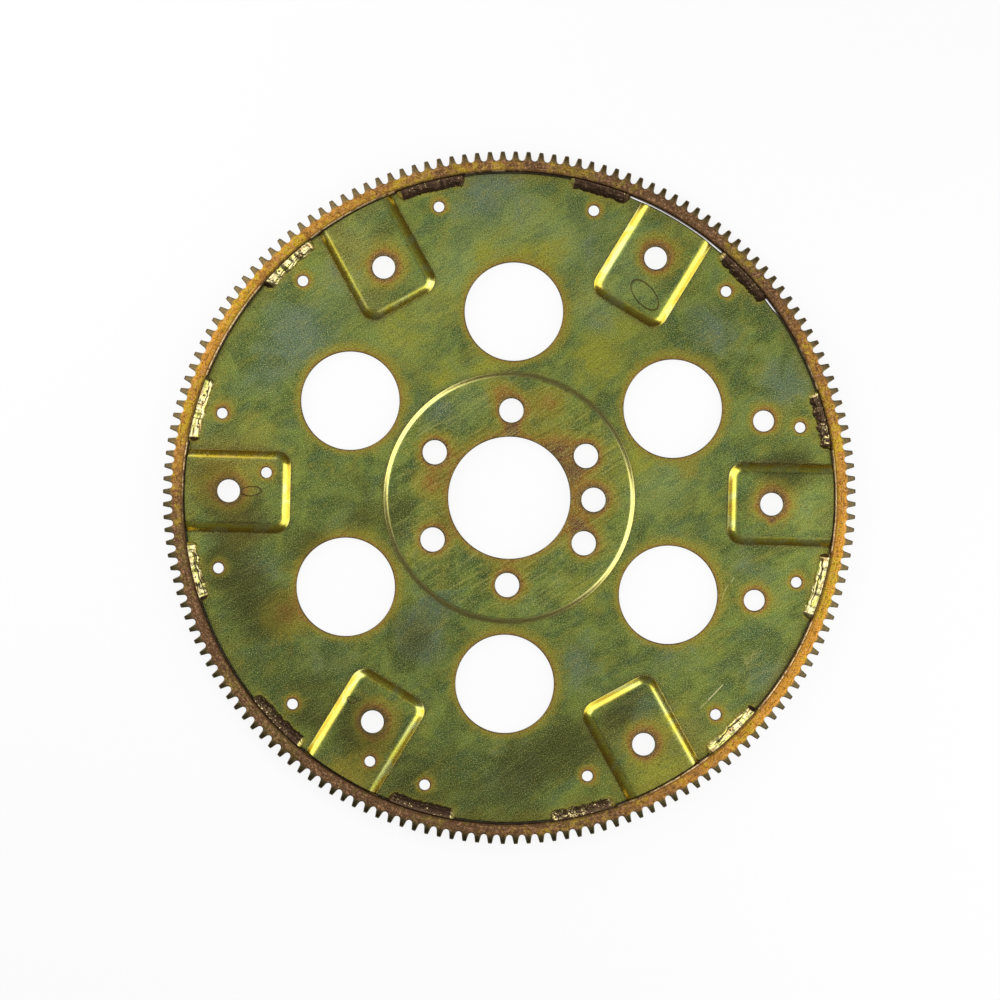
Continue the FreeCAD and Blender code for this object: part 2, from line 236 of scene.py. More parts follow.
DARK_PATCHES = [
    (500, 800, 34, 0.6), (300, 690, 28, 0.55), (238, 516, 18, 1.0), (400, 790, 26, 0.7),
    (645, 800, 24, 0.3), (240, 590, 20, 0.9), (574, 742, 16, 0.9), (385, 235, 10, 0.5),
    (410, 505, 10, 0.4), (640, 690, 14, 0.5), (600, 820, 16, 0.4), (208, 482, 12, 0.9),
    (365, 728, 16, 1.1), (310, 545, 13, 0.9), (266, 620, 13, 0.7), (356, 520, 8, 0.6),
    (777, 476, 12, 1.0), (222, 562, 9, 0.9), (775, 300, 14, 0.5), (310, 718, 10, 0.5),
    (222, 410, 8, 0.7), (412, 636, 17, 0.8), (530, 762, 14, 0.6), (618, 716, 10, 0.8),
    (222, 478, 8, 0.7), (388, 522, 16, 0.6), (804, 462, 13, 0.7), (442, 476, 8, 0.7),
    (444, 520, 8, 0.7), (290, 606, 9, 0.6), (356, 480, 9, 0.5), (312, 280, 9, 0.4),
    (688, 300, 9, 0.4),
]
GOLD_PATCHES = [
    (250, 455, 14, 1.0), (212, 458, 11, 1.0), (346, 246, 11, 0.9), (374, 300, 9, 0.7),
    (240, 528, 11, 0.5), (690, 735, 13, 0.7), (612, 740, 10, 0.4),
]

# Ovals scribed into the pads: centre in the photograph, angle, half the length and the width,
# and the width of the line
OVALS = [
    (644.8, 294.8, -50, 9.4, 4.9, 0.42), (251.2, 491.3, 4, 5.2, 2.4, 0.42),
    (352, 700, -20, 2.6, 1.5, 0.4),
]
# Scrapes: centre in the photograph, angle, half the length, width and strength
SCRAPES = [
    (715.8, 692.8, 46.4, 6.4, 0.36, 1.0), (704, 705, 41, 2.8, 0.3, 0.5),
    (733, 580, 50, 1.5, 0.7, 0.4), (726.5, 588.5, 60, 2.2, 0.5, 0.35),
    (723.5, 596, 78, 1.6, 0.4, 0.3),
]
# A knot of hairlines: its centre in the photograph, and where it starts and stops fading
HAIRLINES = (751, 658)
HAIRLINES_FADE = (7.5, 3.0)

# The brown bloom reaches further on the side of each hole that faces this angle, and this
# much of it lies along the weld beads, over this width
BLOOM_WAY = math.radians(50)
BLOOM_LEAN = 0.3
BLOOM_POWER = 1.2
BEAD_BLOOM = 0.22
BEAD_BLOOM_WIDTH = 2.2

# Where light shows through between the disc and the ring, as angles in the photograph. Round
# the rest of the rim the disc's edge comes closer to the ring by this much. The gap closes
# over these degrees, and the metal moves from this far inside the edge, all of it at the end
# of the run.
OPEN_RIM = [(35.0, 40.0), (48.5, 68.5)]
RIM_CLOSES = 0.66
RIM_CLOSES_OVER = 1.5
RIM_MOVES_FROM = 3.0
RIM_MOVES_RUN = 2.0

# Where the ring's painted light and shade changes: angle in the photograph, spread in degrees, and
# how much
RING_CHANGES = [(187, 9, -0.33), (292, 24, -0.34), (228, 25, -0.16), (155, 12, 0.12)]

# The plating's metallic share, and the way that the sheet was rolled, in degrees from +X
METALLIC = 0.92
ROLLED_WAY = 34.4


# Shader maths

class Socket:
    """An output of a node, which can be used in sums like a number."""

    def __init__(self, graph, output):
        self.graph = graph
        self.output = output

    def __add__(self, other):
        return self.graph.maths("ADD", self, other)

    def __radd__(self, other):
        return self.graph.maths("ADD", other, self)

    def __sub__(self, other):
        return self.graph.maths("SUBTRACT", self, other)

    def __rsub__(self, other):
        return self.graph.maths("SUBTRACT", other, self)

    def __mul__(self, other):
        return self.graph.maths("MULTIPLY", self, other)

    def __rmul__(self, other):
        return self.graph.maths("MULTIPLY", other, self)

    def __truediv__(self, other):
        return self.graph.maths("DIVIDE", self, other)

    def __rtruediv__(self, other):
        return self.graph.maths("DIVIDE", other, self)

    def __abs__(self):
        return self.graph.maths("ABSOLUTE", self)


class Graph:
    """The nodes of one material."""

    def __init__(self, name):
        self.material = bpy.data.materials.new(name)
        self.material.use_nodes = True
        self.tree = self.material.node_tree
        self.tree.nodes.clear()

    def node(self, kind, settings, inputs, output=0):
        """Adds a node: its settings are set first, then its sockets' values and links."""
        made = self.tree.nodes.new(kind)
        for name, value in settings.items():
            setattr(made, name, value)
        for name, value in inputs.items():
            if isinstance(value, Socket):
                self.tree.links.new(value.output, made.inputs[name])
            else:
                made.inputs[name].default_value = value
        if kind == "ShaderNodeOutputMaterial":
            return None
        return Socket(self, made.outputs[output])

    def maths(self, operation, *values):
        """A Math node."""
        return self.node("ShaderNodeMath", {"operation": operation}, dict(enumerate(values)))

    def length(self, x, y):
        """The length that two parts at right angles make."""
        return self.maths("POWER", x * x + y * y, 0.5)

    def scaled(self, vector, factor):
        """A vector times a number."""
        return self.node(
            "ShaderNodeVectorMath", {"operation": "SCALE"}, {0: vector, "Scale": factor}
        )

    def fade(self, value, start, end):
        """Runs softly from 0 at start to 1 at end."""
        return self.node(
            "ShaderNodeMapRange", {"interpolation_type": "SMOOTHSTEP"},
            {0: value, 1: start, 2: end, 3: 0.0, 4: 1.0},
        )

    def mix(self, factor, first, second, label=""):
        """Goes from the first colour to the second."""
        settings = {"data_type": "RGBA", "label": label}
        return self.node("ShaderNodeMix", settings, {0: factor, 6: first, 7: second}, 2)

    def coats(self, colour, layers):
        """Lays coats over a colour in turn: each has a name, how much of it shows, its tint."""
        for label, cover, shade in layers:
            colour = self.mix(cover, colour, tint(*shade), label)
        return colour

    def noise(self, vector, scale, detail=2.0, rough=0.5, bend=0.0):
        """Noise with this many spots to a millimetre, from 0 to 1."""
        return self.node(
            "ShaderNodeTexNoise", {},
            {"Vector": vector, "Scale": scale, "Detail": detail, "Roughness": rough,
             "Distortion": bend},
        )

    def painted(self, name):
        """A value that the mesh carries at its points."""
        return self.node("ShaderNodeAttribute", {"attribute_name": name}, {}, 2)

    def place(self):
        """The point on the part, in millimetres."""
        spot = self.node("ShaderNodeTexCoord", {}, {}, 3)
        return self.scaled(spot, 1 / MILLIMETRE)

    def drawn_out(self, vector, degrees, stretch):
        """The point for a pattern that is this many times longer along an angle."""
        return self.node(
            "ShaderNodeMapping", {"vector_type": "TEXTURE"},
            {"Vector": vector, "Rotation": (0, 0, math.radians(degrees)),
             "Scale": (stretch, 1, 1)},
        )

    def split(self, vector):
        """The three parts of a vector."""
        first = self.node("ShaderNodeSeparateXYZ", {}, {0: vector})
        outputs = first.output.node.outputs
        return [Socket(self, outputs[index]) for index in range(3)]

    def finish(self, colour, roughness, height, depth):
        """Ends in a plated metal surface; the height is bumps, depth millimetres high."""
        normal = self.node(
            "ShaderNodeBump", {},
            {"Height": height, "Distance": depth * MILLIMETRE, "Strength": 1.0},
        )
        shader = self.node(
            "ShaderNodeBsdfPrincipled", {},
            {"Base Color": colour, "Metallic": METALLIC, "Roughness": roughness,
             "Normal": normal},
        )
        self.node("ShaderNodeOutputMaterial", {}, {"Surface": shader})
        return self.material


def tint(red, green, blue):
    """A colour as a picture shows it, 0 to 255, for a colour socket."""
    def straight(value):
        value /= 255
        return value / 12.92 if value <= 0.04045 else ((value + 0.055) / 1.055) ** 2.4
    return (straight(red), straight(green), straight(blue), 1.0)


# Making meshes

def strip(first, second):
    """Faces between two closed rows of points, which are given by their numbers."""
    count = len(first)
    return [(first[i], first[(i + 1) % count], second[(i + 1) % count], second[i])
            for i in range(count)]


def make_piece(name, points, faces, material, nodes, values):
    """One smooth piece of the object, which stands for the given nodes of the model."""
    mesh = bpy.data.meshes.new(name)
    places = [tuple(part * MILLIMETRE for part in point) for point in points]
    mesh.from_pydata(places, [], faces)
    shape = bmesh.new()
    shape.from_mesh(mesh)
    bmesh.ops.recalc_face_normals(shape, faces=shape.faces)
    shape.to_mesh(mesh)
    shape.free()
    mesh.shade_smooth()
    for label, numbers in values.items():
        layer = mesh.attributes.new(label, "FLOAT", "POINT")
        layer.data.foreach_set("value", np.asarray(numbers, dtype=np.float32))
    mesh.materials.append(material)
    piece = bpy.data.objects.new(name, mesh)
    bpy.context.scene.collection.objects.link(piece)
    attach(piece, "root")
    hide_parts(*nodes)


def ring_lit_tone(degrees):
    """How lit the ring is painted at an angle in the photograph, from shaded brown 0 to lit orange
    1: painted light and shade, brightest towards the two low lamps.
    """
    twice = 0.45 * math.cos(math.radians(2 * (degrees - 147)))
    once = 0.20 * math.cos(math.radians(degrees + 10))
    changes = sum(
        change * math.exp(-((degrees - angle) / spread) ** 2)
        for angle, spread, change in RING_CHANGES
    )
    return 0.47 + twice + once + changes


def tooth_tone(degrees):
    """How pale the teeth are at an angle in the photograph, from 0 to 1."""
    dip = 0.7 * math.exp(-((degrees - 188) / 11) ** 2)
    return 0.5 + 0.5 * math.cos(math.radians(degrees - 85)) - dip


def weld_gap(x, y, reach):
    """Distance from the nearest weld bead's toe, taken as an arc of this radius."""
    turn = np.arctan2(y, x)
    gap = np.full(len(x), 1e3)
    for start, end in WELD_SPANS:
        middle, half = math.radians((start + end) / 2), math.radians((end - start) / 2)
        off = np.abs((turn - middle + math.pi) % math.tau - math.pi)
        beside = np.maximum(off - half, 0) * reach
        gap = np.minimum(gap, np.hypot(beside, np.maximum(reach - np.hypot(x, y), 0)))
    return gap


# The pressed disc

def pad_depth(x, y):
    """How far inside the nearest pad's outline a point lies, and less than 0 outside."""
    step = math.tau / PAD_COUNT
    angle = np.arctan2(y, x)
    folded = angle - step * np.round(angle / step)
    reach = np.hypot(x, y)
    along = reach * np.cos(folded)
    across = np.abs(reach * np.sin(folded))
    past_end = PAD_INNER_REACH + PAD_CORNER - along
    past_side = across - (PAD_HALF_WIDTH - PAD_CORNER)
    outside = np.hypot(np.maximum(past_end, 0), np.maximum(past_side, 0))
    inside = np.minimum(np.maximum(past_end, past_side), 0)
    return PAD_CORNER - outside - inside


def hole_distance(x, y):
    """Distance from the nearest hole's edge, and which hole that is."""
    gaps = np.hypot(x[:, None] - HOLES[None, :, 0], y[:, None] - HOLES[None, :, 1])
    gaps = gaps - HOLES[None, :, 2]
    nearest = np.argmin(gaps, axis=1)
    return gaps[np.arange(len(x)), nearest], nearest


def wall_radii(run, rise, foot_share):
    """Radii of the foot and the brow of a wall that bends up, runs straight and bends level."""
    both = (run * math.sin(STEEPEST) - rise * math.cos(STEEPEST)) / (1 - math.cos(STEEPEST))
    return both * foot_share, both * (1 - foot_share)


def pressed_wall(depth, run, rise, foot_share):
    """Height of a pressed wall at a depth in from its foot."""
    foot, brow = wall_radii(run, rise, foot_share)
    foot_end = foot * math.sin(STEEPEST)
    brow_start = run - brow * math.sin(STEEPEST)
    low = foot - np.sqrt(np.maximum(foot ** 2 - np.clip(depth, 0, foot_end) ** 2, 0))
    straight = np.clip(depth - foot_end, 0, brow_start - foot_end) * math.tan(STEEPEST)
    left = run - np.clip(depth, brow_start, run)
    high = np.sqrt(brow ** 2 - left ** 2) - brow * math.cos(STEEPEST)
    return low + straight + high


def wall_rows(run, rise, foot_share, foot_steps, brow_steps):
    """Depths at which a wall needs a row of points, evenly spread over its bends."""
    foot, brow = wall_radii(run, rise, foot_share)
    rows = [foot * math.sin(STEEPEST * i / foot_steps) for i in range(foot_steps + 1)]
    rows += [run - brow * math.sin(STEEPEST * (1 - i / brow_steps)) for i in range(brow_steps + 1)]
    return [-0.5] + rows + [run + 0.5]


def lip_drop(distance):
    """How far a rounded edge falls at a distance in from it."""
    inside = LIP - np.clip(distance, 0, LIP)
    return LIP - np.sqrt(np.maximum(LIP ** 2 - inside ** 2, 0))


class Side:
    """The upper or the lower face of the disc, which faces 1 up or -1 down.

    Its pressed forms stand in from their named sizes by the inset. Its loose points stand a
    spacing apart, and in rings at these distances from each hole's edge.
    """

    def __init__(self, level, inset, pad_run, facing, spacing, rings):
        self.level = level
        self.inset = inset
        self.pad_run = pad_run + PAD_SPREAD
        self.boss_run = BOSS_RUN + BOSS_SPREAD
        self.facing = facing
        self.spacing = spacing
        self.rings = rings

    def pad_wall(self, x, y):
        """Depth from the foot of the pads' wall."""
        return pad_depth(x, y) - self.inset + PAD_SPREAD

    def boss_wall(self, x, y):
        """Depth from the foot of the boss's wall."""
        return BOSS_RADIUS - self.inset + BOSS_SPREAD - np.hypot(x, y)

    def height(self, x, y):
        """Height of the face above the floor."""
        edge = np.minimum(hole_distance(x, y)[0], RIM_RADIUS - np.hypot(x, y))
        pads = pressed_wall(self.pad_wall(x, y), self.pad_run, PAD_RISE, PAD_FOOT_SHARE)
        boss = pressed_wall(self.boss_wall(x, y), self.boss_run, BOSS_RISE, BOSS_FOOT_SHARE)
        return self.level + pads + boss - self.facing * lip_drop(edge)

    def pad_rows(self):
        """How far in from the pads' outline this face needs rows of points."""
        rows = wall_rows(self.pad_run, PAD_RISE, PAD_FOOT_SHARE, 3, 9)
        return [row + self.inset - PAD_SPREAD for row in rows]

    def boss_rows(self):
        """Radii at which this face needs circles of points for the boss's wall."""
        rows = wall_rows(self.boss_run, BOSS_RISE, BOSS_FOOT_SHARE, 4, 7)
        return [BOSS_RADIUS - self.inset + BOSS_SPREAD - row for row in rows]


def circle(x, y, radius, count):
    """Points round a circle."""
    turn = math.tau / count
    return [(x + radius * math.cos(turn * i), y + radius * math.sin(turn * i))
            for i in range(count)]


def pad_row(inset, number):
    """An open row of points along a pad's outline, inset, from the rim round to the rim."""
    half = PAD_HALF_WIDTH - inset
    corner = PAD_CORNER - inset
    start = PAD_INNER_REACH + PAD_CORNER
    rim = math.sqrt(RIM_RADIUS ** 2 - half ** 2)
    side = [(rim + (start - rim) * i / PAD_SIDE_STEPS, half) for i in range(PAD_SIDE_STEPS)]
    turns = [math.radians(90 * i / PAD_BEND_STEPS) for i in range(PAD_BEND_STEPS + 1)]
    bend = [(start - corner * math.sin(turn), half - corner * (1 - math.cos(turn)))
            for turn in turns]
    end = [(PAD_INNER_REACH + inset, (half - corner) * (1 - i / PAD_END_STEPS))
           for i in range(1, PAD_END_STEPS)]
    upper = side + bend + end
    row = upper + [(PAD_INNER_REACH + inset, 0.0)] + [(x, -y) for x, y in reversed(upper)]
    return [rotated(x, y, math.tau * number / PAD_COUNT) for x, y in row]


def rim_outline(sides):
    """Points round the disc's edge, with one wherever a pad's row meets it."""
    met = set()
    for side in sides:
        for inset in side.pad_rows():
            lean = math.asin((PAD_HALF_WIDTH - inset) / RIM_RADIUS)
            for number in range(PAD_COUNT):
                middle = math.tau * number / PAD_COUNT
                met.update([(middle + lean) % math.tau, (middle - lean) % math.tau])
    even = [math.tau * i / RIM_POINTS for i in range(RIM_POINTS)]
    clear = [angle for angle in even if min(abs(angle - other) for other in met) >= RIM_APART]
    return [(RIM_RADIUS * math.cos(angle), RIM_RADIUS * math.sin(angle))
            for angle in sorted(met.union(clear))]


def spread_points(side):
    """Loose points: rings round the holes, and a lattice over the flat metal."""
    found = []
    for number, (x, y, radius, count, _, _) in enumerate(HOLES):
        for gap in side.rings:
            points = circle(x, y, radius + gap, max(int(count / (1 + gap / 4)), 16))
            found += [(px, py, number) for px, py in points]
    # Rows of an even lattice stand 0.866 of its spacing apart, so it takes more rows
    columns = int(RIM_RADIUS / side.spacing) + 1
    rows = int(columns * 1.2)
    for i in range(-columns, columns + 1):
        for j in range(-rows, rows + 1):
            found.append(((i + 0.5 * (j % 2)) * side.spacing, j * side.spacing * 0.866, -1))
    found = np.array(found)
    x, y, owner = found[:, 0], found[:, 1], found[:, 2]
    distance, nearest = hole_distance(x, y)
    pad, boss = side.pad_wall(x, y), side.boss_wall(x, y)
    on_wall = (pad > -WALL_CLEAR) & (pad < side.pad_run + WALL_CLEAR)
    on_wall |= (boss > -WALL_CLEAR) & (boss < side.boss_run + WALL_CLEAR)
    last_ring = side.rings[-1] if side.rings else 1.0
    is_ring = (owner >= 0) & (nearest == owner) & (distance > HOLE_CLEAR)
    is_lattice = (owner < 0) & (distance > last_ring + RING_CLEAR)
    keep = (is_ring | is_lattice) & ~on_wall & (np.hypot(x, y) < RIM_RADIUS - RIM_CLEAR)
    return list(zip(x[keep], y[keep]))


def mesh_side(side, sides):
    """Triangles of one face of the disc, and the loops of points round its edge and holes."""
    points = []
    edges = []

    def add_row(row, is_closed):
        first = len(points)
        points.extend(row)
        count = len(row)
        last = count if is_closed else count - 1
        edges.extend((first + i, first + (i + 1) % count) for i in range(last))
        return list(range(first, first + count))

    loops = [add_row(rim_outline(sides), True)]
    for x, y, radius, count, _, _ in HOLES:
        loops.append(add_row(circle(x, y, radius, int(count)), True))
    turns = [math.radians(90 * i / LIP_STEPS) for i in range(1, LIP_STEPS + 1)]
    for gap in [LIP * (1 - math.cos(turn)) for turn in turns] + [LIP + PAST_LIP]:
        add_row(circle(0, 0, RIM_RADIUS - gap, RIM_POINTS), True)
        for x, y, radius, count, _, _ in HOLES:
            add_row(circle(x, y, radius + gap, int(count)), True)
    for radius in side.boss_rows():
        add_row(circle(0, 0, radius, BOSS_POINTS), True)
    for number in range(PAD_COUNT):
        for inset in side.pad_rows():
            add_row(pad_row(inset, number), False)
    points.extend(spread_points(side))

    flat = [Vector(point) for point in points]
    found, _, faces, sources, _, _ = delaunay_2d_cdt(flat, edges, [], 0, 1e-5)
    x = np.array([point.x for point in found])
    y = np.array([point.y for point in found])
    place = {}
    for index, origins in enumerate(sources):
        for origin in origins:
            place[origin] = index
    corners = np.array(faces)
    middle_x, middle_y = x[corners].mean(axis=1), y[corners].mean(axis=1)
    is_metal = hole_distance(middle_x, middle_y)[0] > -0.002
    is_metal &= np.hypot(middle_x, middle_y) < RIM_RADIUS
    loops = [[place[index] for index in loop] for loop in loops]
    return x, y, [tuple(face) for face in corners[is_metal].tolist()], loops


def patches(x, y, spots):
    """Soft round patches added up."""
    total = np.zeros(len(x))
    for column, row, radius, strength in spots:
        px, py = from_photo(column, row)
        total += strength * np.exp(-((x - px) ** 2 + (y - py) ** 2) / radius ** 2)
    return np.clip(total, 0, 1)


def bloom(x, y):
    """How strongly the plating is browned by the holes and weld beads near a point."""
    clear = np.ones(len(x))
    for px, py, radius, _, width, strength in HOLES:
        gap = np.maximum(np.hypot(x - px, y - py) - radius, 0)
        towards = np.arctan2(y - py, x - px)
        leaning = 1 + BLOOM_LEAN * np.cos(towards - BLOOM_WAY)
        clear *= 1 - strength * np.exp(-(gap / (width * leaning)) ** BLOOM_POWER)
    gap = weld_gap(x, y, BEAD_REACH - 2.5)
    clear *= 1 - BEAD_BLOOM * np.exp(-(gap / BEAD_BLOOM_WIDTH) ** BLOOM_POWER)
    return 1 - clear


def crease_shade(side, x, y):
    """1 in the sharp inner corner at the foot of a pressed wall, where a dark line of painted
    shade goes.
    """
    pads = np.exp(-((side.pad_wall(x, y) - 0.1) / 0.55) ** 2)
    boss = np.exp(-((side.boss_wall(x, y) + 0.1) / 0.4) ** 2) * 0.8
    return np.maximum(pads, boss)


def rim_closing(x, y):
    """How far out a point near the rim moves, to close the gap to the ring where it is shut."""
    degrees = np.degrees(np.arctan2(y, x) - PHOTO_TURN) % 360
    closed = np.ones(len(x))
    for start, end in OPEN_RIM:
        inside = np.minimum(degrees - start, end - degrees)
        closed *= 1 - np.clip(inside / RIM_CLOSES_OVER + 0.5, 0, 1)
    share = np.clip((np.hypot(x, y) - RIM_RADIUS + RIM_MOVES_FROM) / RIM_MOVES_RUN, 0, 1)
    return RIM_CLOSES * closed * share


def cut_edges(top, low, top_loops, low_loops):
    """Walls of the cut edges between the two faces: their middle points, and all their faces."""
    middle = []
    faces = []
    for top_loop, low_loop in zip(top_loops, low_loops):
        rows = [top_loop]
        for share in CUT_ROWS:
            start = len(top) + len(low) + len(middle)
            for upper, lower in zip(top_loop, low_loop):
                x, y, z = top[upper]
                middle.append((x, y, z + (low[lower][2] - z) * share))
            rows.append(range(start, start + len(top_loop)))
        rows.append([index + len(top) for index in low_loop])
        for first, second in zip(rows, rows[1:]):
            faces += strip(first, second)
    return middle, faces


def make_plate(material):
    """The disc: two faces, each with its own soft walls, joined by its cut edges."""
    upper = Side(SHEET_HIGH, 0.0, PAD_RUN, 1, 3.2, [1.4, 2.2, 3.4, 5.2])
    lower = Side(SHEET_LOW, PRESS_INSET, PAD_RUN_BELOW, -1, 9.0, [])
    x, y, faces, top_loops = mesh_side(upper, (upper, lower))
    top = np.column_stack([x, y, upper.height(x, y)])
    x, y, low_faces, low_loops = mesh_side(lower, (upper, lower))
    low = np.column_stack([x, y, lower.height(x, y)])
    middle, cut_faces = cut_edges(top, low, top_loops, low_loops)
    faces += [tuple(index + len(top) for index in face) for face in low_faces] + cut_faces
    points = np.concatenate([top, low, np.array(middle)])

    x, y = points[:, 0].copy(), points[:, 1].copy()
    edge = np.minimum(hole_distance(x, y)[0], RIM_RADIUS - np.hypot(x, y))
    values = {
        "bloom": 1 - (1 - bloom(x, y)) * (1 - patches(x, y, BROWN_PATCHES)),
        # painted shade along every cut edge: at the holes' rounded lips, and at the rim where the
        # ring shades the disc
        "edge_shade": np.exp(-np.maximum(edge, 0) / 1.3),
        "crease_shade": crease_shade(upper, x, y),
        "grey": patches(x, y, GREY_PATCHES),
        "lime": patches(x, y, LIME_PATCHES),
        "light": patches(x, y, LIGHT_PATCHES),
        "dark": patches(x, y, DARK_PATCHES),
        "gold": patches(x, y, GOLD_PATCHES),
    }
    spread = 1 + rim_closing(x, y) / np.maximum(np.hypot(x, y), 1)
    points[:, 0] *= spread
    points[:, 1] *= spread
    used = sorted({index for face in faces for index in face})
    renumbered = {old: new for new, old in enumerate(used)}
    faces = [tuple(renumbered[index] for index in face) for face in faces]
    values = {label: numbers[used] for label, numbers in values.items()}
    make_piece(
        "plate_skin", points[used].tolist(), faces, material, ["flex_plate"],
        values,
    )


# The toothed ring

def tooth_outline():
    """One tooth space with a full round root, to the next tooth's middle: radii and angles."""

    def half_space(radius):
        return HALF_SPACE + (radius - PITCH_RADIUS) * math.tan(FLANK_LEAN)

    root = (half_space(ROOT_RADIUS) * math.cos(FLANK_LEAN)) / (1 - math.sin(FLANK_LEAN))
    middle = ROOT_RADIUS + root
    side = []
    for i in range(1, ROOT_STEPS + 1):
        angle = math.pi - (math.pi / 2 - FLANK_LEAN) * i / ROOT_STEPS
        side.append((middle + root * math.cos(angle), root * math.sin(angle)))
    side += [(radius, half_space(radius)) for radius in FLANK_RADII]
    side += [(TIP_RADIUS - drop, half_space(TIP_RADIUS) + along) for drop, along in TIP_ROUND]
    whole = [(x, -y) for x, y in reversed(side)] + [(ROOT_RADIUS, 0.0)] + side
    bends = [(math.hypot(x, y), math.atan2(y, x)) for x, y in whole]
    return bends + [(TIP_RADIUS, math.pi / TOOTH_COUNT)]


def make_ring(material):
    """The ring gear: rows of points swept round its section, closed on themselves."""
    pitch = math.tau / TOOTH_COUNT
    start = math.radians(TOOTH_PHASE) + pitch / 2
    outline = [(radius, start + number * pitch + angle)
               for number in range(TOOTH_COUNT) for radius, angle in tooth_outline()]
    radii, angles = np.array(outline).T
    x, y = radii * np.cos(angles), radii * np.sin(angles)
    ahead_x, ahead_y = np.roll(x, -1) - np.roll(x, 1), np.roll(y, -1) - np.roll(y, 1)
    length = np.hypot(ahead_x, ahead_y)
    out_x, out_y = ahead_y / length, -ahead_x / length
    cut = EDGE_ROUND * (1 - math.sqrt(0.5))

    def outer(height, inset):
        px, py = x - out_x * inset, y - out_y * inset
        limit = TIP_RADIUS - max(0.0, height - (RING_WIDTH - TOOTH_END_CHAMFER))
        reach = np.hypot(px, py)
        share = np.minimum(1, limit / reach)
        return np.column_stack([px * share, py * share, np.full(len(px), height)])

    def inner(height, radius):
        level = np.full(len(angles), height)
        return np.column_stack([radius * np.cos(angles), radius * np.sin(angles), level])

    # Up the toothed side, across the face, over the bore's softened chamfer, and down the bore
    top = RING_WIDTH
    chamfer_edge = RING_BORE + BORE_CHAMFER
    face_edge = ROOT_RADIUS - FACE_INSIDE_ROOT
    outer_rows = [
        (0.0, EDGE_ROUND), (cut, cut), (EDGE_ROUND, 0.0), (top - TOOTH_END_CHAMFER, 0.0),
        (top - EDGE_ROUND, 0.0), (top - cut, cut), (top, EDGE_ROUND),
    ]
    inner_rows = [
        (top, face_edge), (top, chamfer_edge + 0.15), (top - 0.06, chamfer_edge - 0.1),
        (top - 0.42, RING_BORE + 0.14), (top - 0.62, RING_BORE), (EDGE_ROUND, RING_BORE),
        (cut, RING_BORE + cut), (0.0, RING_BORE + EDGE_ROUND), (0.0, face_edge),
    ]
    rows = [outer(*row) for row in outer_rows] + [inner(*row) for row in inner_rows]
    numbers = np.arange(len(rows) * len(angles)).reshape(len(rows), -1).tolist()
    faces = []
    for first, second in zip(numbers, numbers[1:] + numbers[:1]):
        faces += strip(first, second)
    points = np.concatenate(rows)
    degrees = np.degrees(np.arctan2(points[:, 1], points[:, 0]) - PHOTO_TURN) % 360
    values = {
        # painted light and shade: orange where the ring faces the lamps, brown elsewhere
        "tone": [ring_lit_tone(angle) for angle in degrees],
        "tooth": [tooth_tone(angle) for angle in degrees],
        "welded": np.exp(-(weld_gap(points[:, 0], points[:, 1], RING_BORE) / 1.2) ** 2),
    }
    make_piece(
        "ring_skin", points.tolist(), faces, material, ["ring_gear"], values
    )


# The weld beads

